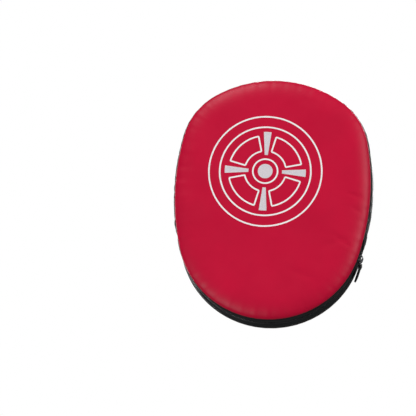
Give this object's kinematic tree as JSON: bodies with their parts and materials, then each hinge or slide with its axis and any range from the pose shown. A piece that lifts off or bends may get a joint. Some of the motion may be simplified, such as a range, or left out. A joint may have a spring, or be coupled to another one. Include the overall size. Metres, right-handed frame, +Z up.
{
  "type": "focus mitt",
  "caption": "Padded boxing hand target with a crowned egg-shaped face, zipped side band, pleated hand cover and hook-and-loop wrist strap.",
  "frame": {"origin": "on the outer face of the back panel, where the centre of the palm bears, mid-way up the pad", "axes": "+Z up towards the fingertips, +Y towards the holder, out of the back panel, and -Y out of the striking face; +X is the little-finger side"},
  "size_m": [0.1998, 0.1493, 0.25],
  "materials": {
    "red_leather": "satin",
    "black_leather": "satin",
    "cover_leather": "satin",
    "back_leather": "satin",
    "soft_foam": "matte",
    "core_foam": "matte",
    "zip_tape": "matte",
    "zip_coil": "satin",
    "zip_metal": "gloss",
    "pull_plastic": "satin",
    "loop_pile": "matte",
    "hook_pile": "matte",
    "thread": "satin",
    "print_white": "satin",
    "print_silver": "satin"
  },
  "bodies": {
    "pad": {"face_panel": "red_leather", "face_foam": "soft_foam", "core_foam": "core_foam", "hand_foam": "soft_foam", "back_panel": "back_leather", "side_band": "black_leather", "zip_facing_front": "black_leather", "zip_facing_back": "black_leather", "zip_tape_front": "zip_tape", "zip_tape_back": "zip_tape", "zip_coil_front": "zip_coil", "zip_coil_back": "zip_coil", "zip_stop_top": "zip_metal", "zip_stop_bottom": "zip_metal", "hand_cover": "cover_leather", "finger_binding": "cover_leather", "wrist_binding": "cover_leather", "loop_strap": "loop_pile", "strap_root": "cover_leather"},
    "slider": {"zip_slider": "zip_metal"},
    "link": {"pull_link": "zip_metal"},
    "pull": {"pull_tab": "pull_plastic"},
    "strap": {"wrist_strap": "cover_leather", "hook_patch": "hook_pile"}
  },
  "joints": [
    {"name": "zip_travel", "type": "hinge", "parent": "pad", "child": "slider", "pos_m": [0, -0.0242, -0.031], "axis": [0, 1, 0], "range_deg": [0, 151]},
    {"name": "pull_flip", "type": "hinge", "parent": "slider", "child": "link", "pos_m": [0.09373, -0.0242, -0.05264], "axis": [0, -1, 0], "range_deg": [0, 155]},
    {"name": "pull_swing", "type": "hinge", "parent": "link", "child": "pull", "pos_m": [0.09087, -0.0242, -0.06011], "axis": [0.9336, 0, -0.3584], "range_deg": [-124, 0]},
    {"name": "strap_fold", "type": "hinge", "parent": "pad", "child": "strap", "pos_m": [-0.03345, 0.02119, -0.0482], "axis": [0, 0, 1], "range_deg": [-72, 64]}
  ]
}
